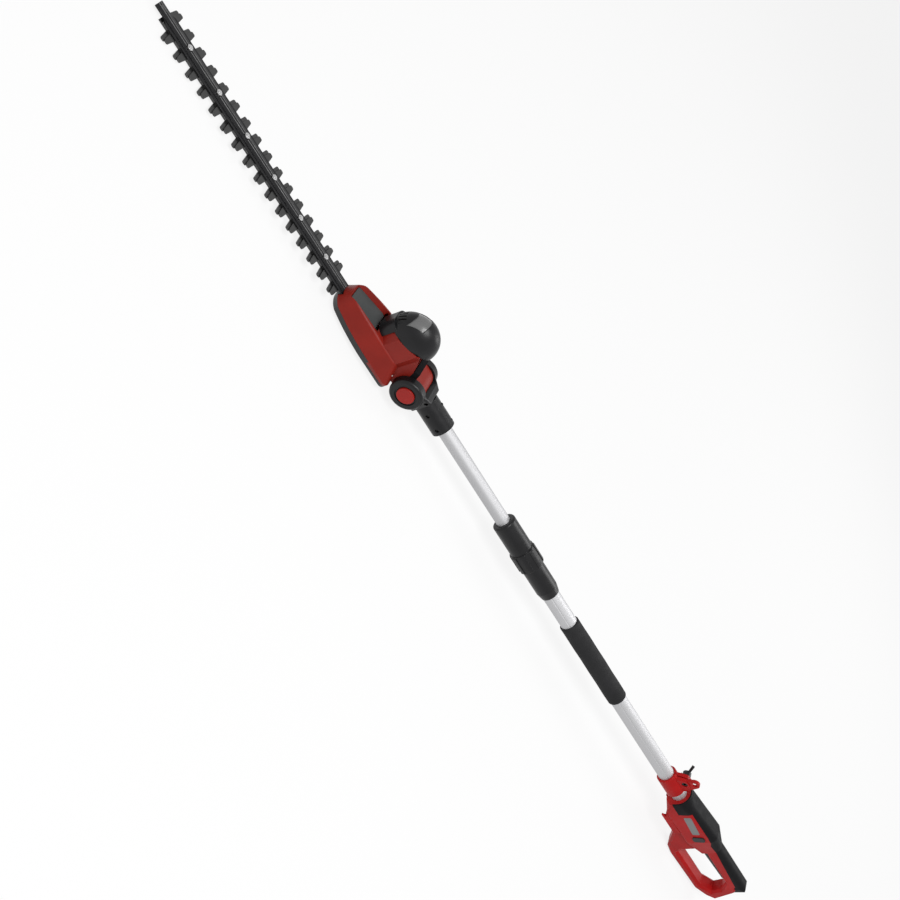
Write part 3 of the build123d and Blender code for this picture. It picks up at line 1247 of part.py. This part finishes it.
def battery_dock():
    """Rails under the body that the battery pack slides on."""
    tooth_x = DOCK_FRONT_X - DOCK_TOOTH
    lip_top = DOCK_BOTTOM + DOCK_LIP
    dock = block(DOCK_REAR_X, DOCK_FRONT_X, -DOCK_HALF, DOCK_HALF, DOCK_TOP, DOCK_ROOF)
    for side in (1, -1):
        inner = side * (DOCK_HALF - DOCK_RAIL)
        lip = inner - side * DOCK_LIP
        rail = [
            (tooth_x, DOCK_TOP), (DOCK_FRONT_X, DOCK_BOTTOM),
            (DOCK_REAR_X, DOCK_BOTTOM), (DOCK_REAR_X, DOCK_TOP),
        ]
        dock += side_slab(rail, inner, side * DOCK_HALF)
        dock += block(tooth_x, DOCK_REAR_X, inner, lip, DOCK_BOTTOM, lip_top)
    dock += block(DOCK_REAR_X, DOCK_REAR_X + DOCK_STOP, -DOCK_HALF, DOCK_HALF, DOCK_BOTTOM, DOCK_TOP)
    return dock - upper_form(-SEAT)


def terminal_block():
    """Contact block in the dock with its blades."""
    rear = DOCK_REAR_X + DOCK_STOP
    front = rear + TERMINAL_LONG
    low = DOCK_TOP - TERMINAL_TALL
    body = block(rear, front, -TERMINAL_HALF, TERMINAL_HALF, low, DOCK_TOP)
    half = TERMINAL_BLADE / 2
    for i in range(TERMINAL_BLADES):
        y = (i - (TERMINAL_BLADES - 1) / 2) * TERMINAL_STEP
        tip = front + TERMINAL_REACH
        body += block(front - RUN, tip, y - half, y + half, low + TERMINAL_BLADE, DOCK_TOP - TERMINAL_BLADE)
    return body


def switch_body():
    """Switch above the trigger, hung between the shells."""
    half = GRIP_HALF - SOFT_THICK - SHELL_WALL - RUN
    top = SWITCH_BOTTOM + SWITCH_TALL
    body = block(SWITCH_X, SWITCH_X - SWITCH_LONG, -SWITCH_HALF, SWITCH_HALF, SWITCH_BOTTOM, top)
    body += block(SWITCH_X, SWITCH_X - SWITCH_HALF, -half, half, SWITCH_BOTTOM, SWITCH_BOTTOM + SWITCH_TAB)
    return body


def trigger_spring():
    """Coil between the switch and the trigger."""
    long = SWITCH_BOTTOM - TRIGGER_TOP - 2 * SPRING_WIRE - 2 * SLIP
    spring = coil(TRIGGER_SPRING_RADIUS, SPRING_WIRE / 2, long, TRIGGER_SPRING_TURNS)
    return Pos(TRIGGER_SPRING_X, 0, TRIGGER_TOP + SPRING_WIRE + SLIP) * spring


def control_board():
    """Small board on the floor of the body."""
    floor = BODY_BOTTOM + SOFT_THICK + SHELL_WALL + BOARD_GAP
    rear = BOARD_FRONT_X - BOARD_LONG
    return block(BOARD_FRONT_X, rear, -BOARD_HALF, BOARD_HALF, floor, floor + BOARD_THICK)


def place(shape):
    """Lay the tool on its blade tip and hand loop, over the origin."""
    return Pos(-MIDDLE_X, 0, -FLOOR_Z) * Rot(0, degrees(DROOP), 0) * shape


HANDLE = handle_shell()
NODES = {
    "head_housing": head_housing(),
    "base_plate": base_plate(),
    "top_panel": top_panel(),
    "motor_cap": motor_cap(),
    "cap_band": cap_band(),
    "seal_strip": seal_strip(),
    "guide_bar": guide_bar(),
    "blade_studs": blade_studs(),
    "bar_screws": bar_screws(),
    "gear_case": gear_case(),
    "motor": motor(),
    "motor_screws": motor_screws(),
    "motor_pinion": motor_pinion(),
    "drive_gear": drive_gear(),
    "gear_bushes": gear_bushes(),
    "head_screws": head_screws(),
    "upper_blade": blade(-REST_SHIFT, UPPER_BOTTOM),
    "lower_blade": blade(REST_SHIFT, LOWER_BOTTOM),
    "yoke_left": yoke_half(1),
    "yoke_right": yoke_half(-1),
    "yoke_screws": yoke_screws(),
    "hinge_pin": hinge_pin(),
    "release_button": release_button(),
    "lock_hub": lock_hub(),
    "release_spring": release_spring(),
    "inner_tube": inner_tube(),
    "tube_bush": tube_bush(),
    "outer_tube": outer_tube(),
    "collet": collet(),
    "twist_nut": twist_nut(),
    "lock_collar": lock_collar(),
    "foam_grip": foam_grip(),
    "power_lead": power_lead(),
    "strap_clamp": strap_clamp(),
    "clamp_bolt": clamp_bolt(),
    "wing_nut": wing_nut(),
    "handle_left": handle_half(HANDLE, 1),
    "handle_right": handle_half(HANDLE, -1),
    "soft_grip": soft_grip(),
    "name_plate": name_plate(),
    "lockoff_button": lockoff_button(),
    "lockoff_spring": lockoff_spring(),
    "trigger": trigger(),
    "trigger_pin": trigger_pin(),
    "trigger_spring": trigger_spring(),
    "switch_body": switch_body(),
    "control_board": control_board(),
    "handle_screws": handle_screws(),
    "battery_dock": battery_dock(),
    "terminal_block": terminal_block(),
}

os.makedirs("parts", exist_ok=True)
for name, shape in NODES.items():
    export_step(place(shape), f"parts/{name}.step")
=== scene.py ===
"""Looks of the pole hedge trimmer: materials, foam sleeve, stage, light and camera."""
import json
import math

import bmesh
import bpy
from mathutils import Matrix, Vector


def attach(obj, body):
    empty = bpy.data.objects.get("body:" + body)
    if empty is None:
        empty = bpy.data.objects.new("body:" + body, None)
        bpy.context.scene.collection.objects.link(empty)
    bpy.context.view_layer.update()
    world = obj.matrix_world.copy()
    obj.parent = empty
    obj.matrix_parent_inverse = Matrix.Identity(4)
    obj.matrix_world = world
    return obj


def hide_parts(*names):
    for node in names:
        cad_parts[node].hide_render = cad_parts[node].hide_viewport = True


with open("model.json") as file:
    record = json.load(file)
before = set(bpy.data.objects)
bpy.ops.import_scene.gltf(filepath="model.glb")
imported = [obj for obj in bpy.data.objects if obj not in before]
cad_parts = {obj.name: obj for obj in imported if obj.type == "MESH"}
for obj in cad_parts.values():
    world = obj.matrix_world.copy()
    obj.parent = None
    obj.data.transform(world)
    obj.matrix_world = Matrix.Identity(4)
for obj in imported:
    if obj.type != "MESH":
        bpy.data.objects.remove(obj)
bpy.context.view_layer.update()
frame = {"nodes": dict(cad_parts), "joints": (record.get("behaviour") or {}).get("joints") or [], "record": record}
nodes = frame["nodes"]
joints = {j["name"]: j for j in frame["joints"]}

# The tool's own axes: X along the pole, Y to the left, Z up, from the tilt pivot
PIVOT = Vector(joints["head_tilt"]["pos_m"])
AX = Vector(joints["pole_slide"]["axis"]).normalized()
AY = Vector((0.0, 1.0, 0.0))
AZ = AX.cross(AY)
MM = 0.001


def at(x, y, z):
    """Point of the tool's frame, in millimetres, in the row frame."""
    return PIVOT + (AX * x + AY * y + AZ * z) * MM


def turn(x, y, z):
    """Direction of the tool's frame in the row frame."""
    return AX * x + AY * y + AZ * z


# Camera, fitted to the photograph's perspective
CAMERA_AT = (596.7, 1224.7, 930.9)
CAMERA_RIGHT = (-0.4936, -0.3289, 0.8051)
CAMERA_DOWN = (-0.7600, 0.6131, -0.2155)
CAMERA_AHEAD = (-0.4228, -0.7183, -0.5526)
LENS = 45.91
SENSOR = 36.0
CAMERA_REACH = 50.0


def add_camera():
    """Camera at the photograph's angle."""
    data = bpy.data.cameras.new("camera")
    data.lens = LENS
    data.sensor_width = SENSOR
    data.clip_end = CAMERA_REACH
    cam = bpy.data.objects.new("camera", data)
    bpy.context.scene.collection.objects.link(cam)
    right = turn(*CAMERA_RIGHT).normalized()
    back = -turn(*CAMERA_AHEAD).normalized()
    up = back.cross(right).normalized()
    place = Matrix.Identity(4)
    for column, vector in enumerate((right, up, back, at(*CAMERA_AT))):
        for row in range(3):
            place[row][column] = vector[row]
    cam.matrix_world = place
    bpy.context.scene.camera = cam


# Noise falls mostly between these two values
NOISE_LOW = 0.3
NOISE_HIGH = 0.7

# Depth in metres of the grain that bump draws, and samples of a rounded edge
GRAIN_DEPTH = 0.0002
EDGE_SAMPLES = 6


# Node helpers

def new_material(name):
    """Material with its tree and its shader."""
    mat = bpy.data.materials.new(name)
    mat.use_nodes = True
    tree = mat.node_tree
    shader = tree.nodes["Principled BSDF"]
    return mat, tree, shader


def add(tree, kind, **values):
    """Node of a kind, with inputs or properties set by name."""
    node = tree.nodes.new(kind)
    for key, value in values.items():
        if key in node.inputs:
            node.inputs[key].default_value = value
        else:
            setattr(node, key, value)
    return node


def noise(tree, scale, detail=3.0, stretch=None):
    """Noise in the object's own metres; stretch draws it out along the tool's axes."""
    coord = add(tree, "ShaderNodeTexCoord")
    source = coord.outputs["Object"]
    if stretch:
        drawn = add(tree, "ShaderNodeMapping", vector_type="TEXTURE")
        drawn.inputs["Rotation"].default_value = (0.0, math.atan2(-AX.z, AX.x), 0.0)
        drawn.inputs["Scale"].default_value = stretch
        tree.links.new(source, drawn.inputs["Vector"])
        source = drawn.outputs["Vector"]
    tex = add(tree, "ShaderNodeTexNoise", Scale=scale, Detail=detail)
    tree.links.new(source, tex.inputs["Vector"])
    return tex.outputs["Fac"]


def ramp(tree, factor, low, high, start=NOISE_LOW, stop=NOISE_HIGH):
    """Colours from low to high over the factor."""
    node = add(tree, "ShaderNodeValToRGB")
    node.color_ramp.elements[0].position = start
    node.color_ramp.elements[1].position = stop
    node.color_ramp.elements[0].color = (*low, 1.0)
    node.color_ramp.elements[1].color = (*high, 1.0)
    tree.links.new(factor, node.inputs["Fac"])
    return node.outputs["Color"]


def spread(tree, factor, low, high):
    """Number from low to high over the factor."""
    node = add(tree, "ShaderNodeMapRange")
    node.inputs["From Min"].default_value = NOISE_LOW
    node.inputs["From Max"].default_value = NOISE_HIGH
    node.inputs["To Min"].default_value = low
    node.inputs["To Max"].default_value = high
    tree.links.new(factor, node.inputs["Value"])
    return node.outputs["Result"]


def cloudy(tree, factor, color, mottle):
    """Colour that strays from its mean by the share mottle."""
    low = tuple(c * (1.0 - mottle) for c in color)
    high = tuple(min(1.0, c * (1.0 + mottle)) for c in color)
    return ramp(tree, factor, low, high)


def finish_normal(tree, shader, height, strength, edge):
    """Fine grain over softly rounded edges."""
    bump = add(tree, "ShaderNodeBump", Strength=strength, Distance=GRAIN_DEPTH)
    tree.links.new(height, bump.inputs["Height"])
    if edge:
        bevel = add(tree, "ShaderNodeBevel", Radius=edge)
        bevel.samples = EDGE_SAMPLES
        tree.links.new(bevel.outputs["Normal"], bump.inputs["Normal"])
    tree.links.new(bump.outputs["Normal"], shader.inputs["Normal"])


# Moulded plastic and rubber: noise scales per metre and spread of roughness
CLOUD_SCALE = 28.0
WEAR_SCALE = 90.0
GRAIN_DETAIL = 2.0
MOULDED_SPREAD = 0.05
COAT_ROUGH = 0.2


def moulded(
    name, color, rough,
    grain=2600.0, strength=0.12, edge=0.0008, coat=0.0, mottle=0.10, shine=0.22,
):
    """Moulded plastic or rubber: faint cloudy colour, spark-eroded grain, rounded edges."""
    mat, tree, shader = new_material(name)
    paint = cloudy(tree, noise(tree, CLOUD_SCALE), color, mottle)
    tree.links.new(paint, shader.inputs["Base Color"])
    fine = noise(tree, grain, GRAIN_DETAIL)
    worn = spread(tree, noise(tree, WEAR_SCALE), rough - MOULDED_SPREAD, rough + MOULDED_SPREAD)
    tree.links.new(worn, shader.inputs["Roughness"])
    shader.inputs["Specular IOR Level"].default_value = shine
    shader.inputs["Coat Weight"].default_value = coat
    shader.inputs["Coat Roughness"].default_value = COAT_ROUGH
    finish_normal(tree, shader, fine, strength, edge)
    return mat


METAL_SPREAD = 0.06


def metal(name, color, rough, stretch=None, grain=700.0, strength=0.06, edge=0.0003, mottle=0.08):
    """Bare or plated metal with drawn or ground streaks."""
    mat, tree, shader = new_material(name)
    shader.inputs["Metallic"].default_value = 1.0
    streak = noise(tree, grain, GRAIN_DETAIL, stretch)
    tree.links.new(cloudy(tree, streak, color, mottle), shader.inputs["Base Color"])
    worn = spread(tree, streak, rough - METAL_SPREAD, rough + METAL_SPREAD)
    tree.links.new(worn, shader.inputs["Roughness"])
    finish_normal(tree, shader, streak, strength, edge)
    return mat


# Bar: where a highlight is painted along its crest's edges, in metres from its middle, and its colours: the black
# coat and the painted highlight
CREST_EDGE = 0.0021
CREST_HIGHLIGHT_WIDTH = 0.0006
CREST_HIGHLIGHT_CORE = 0.4
BAR_COATED = (0.008, 0.008, 0.009)
BAR_HIGHLIGHT = (0.28, 0.28, 0.28)
BAR_HIGHLIGHT_STRENGTH = (0.35, 1.0)
BAR_ROUGH = (0.30, 0.42)
BAR_SHINE = 0.25


def crest_highlight_mask(tree, offset):
    """Painted highlight mask: one along the crest's edge, nought away from it."""
    away = add(tree, "ShaderNodeMath", operation="SUBTRACT")
    tree.links.new(offset, away.inputs[0])
    away.inputs[1].default_value = CREST_EDGE
    size = add(tree, "ShaderNodeMath", operation="ABSOLUTE")
    tree.links.new(away.outputs[0], size.inputs[0])
    line = add(tree, "ShaderNodeMapRange")
    line.inputs["From Min"].default_value = CREST_HIGHLIGHT_WIDTH * CREST_HIGHLIGHT_CORE
    line.inputs["From Max"].default_value = CREST_HIGHLIGHT_WIDTH
    line.inputs["To Min"].default_value = 1.0
    line.inputs["To Max"].default_value = 0.0
    tree.links.new(size.outputs[0], line.inputs["Value"])
    return line.outputs["Result"]


def bar_material():
    """Black coated bar with a painted highlight along its crest's edges, patchy in strength."""
    mat, tree, shader = new_material("bar_black")
    coord = add(tree, "ShaderNodeTexCoord")
    split = add(tree, "ShaderNodeSeparateXYZ")
    tree.links.new(coord.outputs["Object"], split.inputs["Vector"])
    offset = add(tree, "ShaderNodeMath", operation="ABSOLUTE")
    tree.links.new(split.outputs["Y"], offset.inputs[0])
    # Painted highlight: a light grey line along each crest edge on the black coat, its strength varied in patches
    # by noise
    painted_highlight = add(tree, "ShaderNodeMath", operation="MULTIPLY")
    tree.links.new(crest_highlight_mask(tree, offset.outputs[0]), painted_highlight.inputs[0])
    highlight_patches = noise(tree, scale=300.0, stretch=(5.0, 1.0, 1.0))
    tree.links.new(spread(tree, highlight_patches, *BAR_HIGHLIGHT_STRENGTH), painted_highlight.inputs[1])
    paint = ramp(tree, painted_highlight.outputs[0], BAR_COATED, BAR_HIGHLIGHT, 0.0, 1.0)
    tree.links.new(paint, shader.inputs["Base Color"])
    worn = spread(tree, noise(tree, scale=140.0), *BAR_ROUGH)
    tree.links.new(worn, shader.inputs["Roughness"])
    shader.inputs["Specular IOR Level"].default_value = BAR_SHINE
    finish_normal(tree, shader, noise(tree, scale=1800.0), strength=0.05, edge=0.0004)
    return mat


# Colour, roughness and what differs from the plain finish, by material slot
MOULDED = {
    "head_red": ((0.235, 0.014, 0.008), 0.42, {}),
    "button_red": ((0.330, 0.014, 0.010), 0.38, {}),
    "handle_red": ((0.400, 0.008, 0.008), 0.42, {"shine": 0.14}),
    "black_plastic": ((0.008, 0.008, 0.009), 0.34, {"strength": 0.02, "mottle": 0.2, "shine": 0.28}),
    "soft_black": (
        (0.007, 0.007, 0.008), 0.60,
        {"grain": 1500.0, "strength": 0.10, "mottle": 0.2, "shine": 0.10},
    ),
    "panel_grey": ((0.056, 0.060, 0.060), 0.50, {}),
    "band_grey": ((0.16, 0.16, 0.16), 0.25, {"strength": 0.05, "coat": 0.4}),
    "name_plate": ((0.20, 0.20, 0.20), 0.35, {"strength": 0.08}),
    "board_green": ((0.02, 0.10, 0.035), 0.40, {}),
    "lead_rubber": ((0.02, 0.02, 0.02), 0.60, {}),
    "foam": ((0.016, 0.016, 0.017), 0.75, {"grain": 900.0, "strength": 0.30, "edge": 0.0, "mottle": 0.25}),
}
METAL = {
    "blade_steel": ((0.085, 0.085, 0.085), 0.38, {"stretch": (1.0, 0.125, 1.0)}),
    "bright_steel": ((0.62, 0.62, 0.62), 0.28, {}),
    "black_steel": ((0.05, 0.05, 0.05), 0.35, {}),
    "spring_steel": ((0.45, 0.45, 0.46), 0.30, {}),
    "tube_alloy": (
        (0.55, 0.55, 0.56), 0.62,
        {"stretch": (20.0, 1.0, 1.0), "grain": 60.0, "strength": 0.0, "edge": 0.0, "mottle": 0.03},
    ),
    "cast_alloy": ((0.50, 0.50, 0.51), 0.50, {}),
    "bush_bronze": ((0.50, 0.33, 0.14), 0.40, {}),
}


def make_materials():
    """Every material, by slot."""
    made = {name: moulded(name, color, rough, **more) for name, (color, rough, more) in MOULDED.items()}
    made.update({name: metal(name, color, rough, **more) for name, (color, rough, more) in METAL.items()})
    made["bar_black"] = bar_material()
    return made


MATERIALS = make_materials()


def paint_nodes():
    """Each CAD node in the material of its slot."""
    for sub in frame["record"]["subparts"]:
        mesh = nodes[sub["node"]].data
        mesh.materials.clear()
        mesh.materials.append(MATERIALS[sub["material_slot"]])


# Foam sleeve, in millimetres of the tool's frame
FOAM_FRONT = -495.0
FOAM_REAR = -676.0
FOAM_OUTER = 17.0
FOAM_INNER = 14.35
FOAM_RINGS = 90
FOAM_SIDES = 64
FOAM_SINK = 0.25
FOAM_END = [(0.0, 1.6), (0.5, 0.7), (1.6, 0.0)]

# Waves in the foam: height, turn per millimetre along it, times round it
FOAM_WAVES = [(0.12, 0.11, 2), (0.08, 0.037, -1)]


def foam_profile():
    """Along and out: front end, even rings, rear end."""
    lip = FOAM_END[-1][0]
    profile = [(FOAM_FRONT, FOAM_INNER)]
    profile += [(FOAM_FRONT - along, FOAM_OUTER - drop) for along, drop in FOAM_END]
    for i in range(1, FOAM_RINGS):
        profile.append((FOAM_FRONT - lip + (FOAM_REAR - FOAM_FRONT + 2 * lip) * i / FOAM_RINGS, FOAM_OUTER))
    profile += [(FOAM_REAR + along, FOAM_OUTER - drop) for along, drop in reversed(FOAM_END)]
    profile.append((FOAM_REAR, FOAM_INNER))
    return profile


def foam_radius(x, radius, angle):
    """Radius with slight waves along the sleeve and around it; the bore stays even."""
    if radius == FOAM_INNER:
        return radius
    wave = sum(high * math.sin(x * along + times * angle) for high, along, times in FOAM_WAVES)
    return radius - FOAM_SINK + wave


def foam_sleeve():
    """Closed-cell foam tube with soft ends."""
    angles = [2 * math.pi * k / FOAM_SIDES for k in range(FOAM_SIDES)]
    bm = bmesh.new()
    loops = []
    for x, radius in foam_profile():
        loop = []
        for angle in angles:
            r = foam_radius(x, radius, angle)
            loop.append(bm.verts.new(at(x, r * math.cos(angle), r * math.sin(angle))))
        loops.append(loop)
    for one, other in zip(loops, loops[1:] + loops[:1]):
        for k in range(FOAM_SIDES):
            after = (k + 1) % FOAM_SIDES
            bm.faces.new((one[k], one[after], other[after], other[k]))
    bmesh.ops.recalc_face_normals(bm, faces=bm.faces)
    mesh = bpy.data.meshes.new("foam_sleeve")
    bm.to_mesh(mesh)
    bm.free()
    for poly in mesh.polygons:
        poly.use_smooth = True
    mesh.materials.append(MATERIALS["foam"])
    piece = bpy.data.objects.new("foam_sleeve", mesh)
    bpy.context.scene.collection.objects.link(piece)
    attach(piece, "rear")
    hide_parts("foam_grip")


# Stage and light, in metres and watts
FLOOR_HALF = 12.0
FLOOR_COLOR = (0.86, 0.86, 0.86, 1.0)
FLOOR_GLOW = 0.85
WHITE = (1.0, 1.0, 1.0, 1.0)
WORLD_SEEN = 0.8
WORLD_SOFT = 0.30
LAMP_SIZE = 1.6
LAMP_TARGET = Vector((0.0, 0.0, 0.05))
KEY_AT = Vector((0.6, 1.2, 2.6))
KEY_POWER = 60.0
FILL_AT = Vector((-1.8, -1.4, 2.0))
FILL_POWER = 25.0


def seen_rays(tree):
    """One for camera, glossy and transmitted rays, which see the white background."""
    path = add(tree, "ShaderNodeLightPath")
    first = add(tree, "ShaderNodeMath", operation="MAXIMUM")
    tree.links.new(path.outputs["Is Camera Ray"], first.inputs[0])
    tree.links.new(path.outputs["Is Glossy Ray"], first.inputs[1])
    both = add(tree, "ShaderNodeMath", operation="MAXIMUM")
    tree.links.new(first.outputs[0], both.inputs[0])
    tree.links.new(path.outputs["Is Transmission Ray"], both.inputs[1])
    return both.outputs[0]


def add_floor():
    """Pale floor that keeps the shadow and fades into the white background."""
    mesh = bpy.data.meshes.new("floor")
    signs = ((-1, -1), (1, -1), (1, 1), (-1, 1))
    corners = [(sx * FLOOR_HALF, sy * FLOOR_HALF, 0) for sx, sy in signs]
    mesh.from_pydata(corners, [], [(0, 1, 2, 3)])
    floor = bpy.data.objects.new("floor", mesh)
    bpy.context.scene.collection.objects.link(floor)
    mat = bpy.data.materials.new("floor")
    mat.use_nodes = True
    tree = mat.node_tree
    tree.nodes.clear()
    out = add(tree, "ShaderNodeOutputMaterial")
    plain = add(tree, "ShaderNodeBsdfDiffuse")
    plain.inputs["Color"].default_value = FLOOR_COLOR
    glow = add(tree, "ShaderNodeEmission")
    glow.inputs["Strength"].default_value = 1.0
    share = add(tree, "ShaderNodeMath", operation="MULTIPLY")
    share.inputs[1].default_value = FLOOR_GLOW
    tree.links.new(seen_rays(tree), share.inputs[0])
    mix = add(tree, "ShaderNodeMixShader")
    tree.links.new(share.outputs[0], mix.inputs["Fac"])
    tree.links.new(plain.outputs["BSDF"], mix.inputs[1])
    tree.links.new(glow.outputs["Emission"], mix.inputs[2])
    tree.links.new(mix.outputs["Shader"], out.inputs["Surface"])
    mesh.materials.append(mat)


def add_world():
    """White where it is seen or mirrored, softer where it lights."""
    world = bpy.data.worlds.new("world")
    bpy.context.scene.world = world
    world.use_nodes = True
    tree = world.node_tree
    shown = tree.nodes["Background"]
    shown.inputs["Strength"].default_value = WORLD_SEEN
    soft = add(tree, "ShaderNodeBackground", Strength=WORLD_SOFT)
    for node in (shown, soft):
        node.inputs["Color"].default_value = WHITE
    mix = add(tree, "ShaderNodeMixShader")
    tree.links.new(seen_rays(tree), mix.inputs["Fac"])
    tree.links.new(soft.outputs["Background"], mix.inputs[1])
    tree.links.new(shown.outputs["Background"], mix.inputs[2])
    tree.links.new(mix.outputs["Shader"], tree.nodes["World Output"].inputs["Surface"])


def add_light(name, place, power):
    """Round soft lamp aimed at the tool."""
    data = bpy.data.lights.new(name, "AREA")
    data.shape = "DISK"
    data.size = LAMP_SIZE
    data.energy = power
    lamp = bpy.data.objects.new(name, data)
    bpy.context.scene.collection.objects.link(lamp)
    lamp.location = place
    lamp.rotation_euler = (LAMP_TARGET - place).to_track_quat("-Z", "Y").to_euler()


paint_nodes()
foam_sleeve()
add_floor()
add_world()
add_light("key", KEY_AT, KEY_POWER)
add_light("fill", FILL_AT, FILL_POWER)
add_camera()
bpy.context.scene.view_settings.view_transform = "Standard"
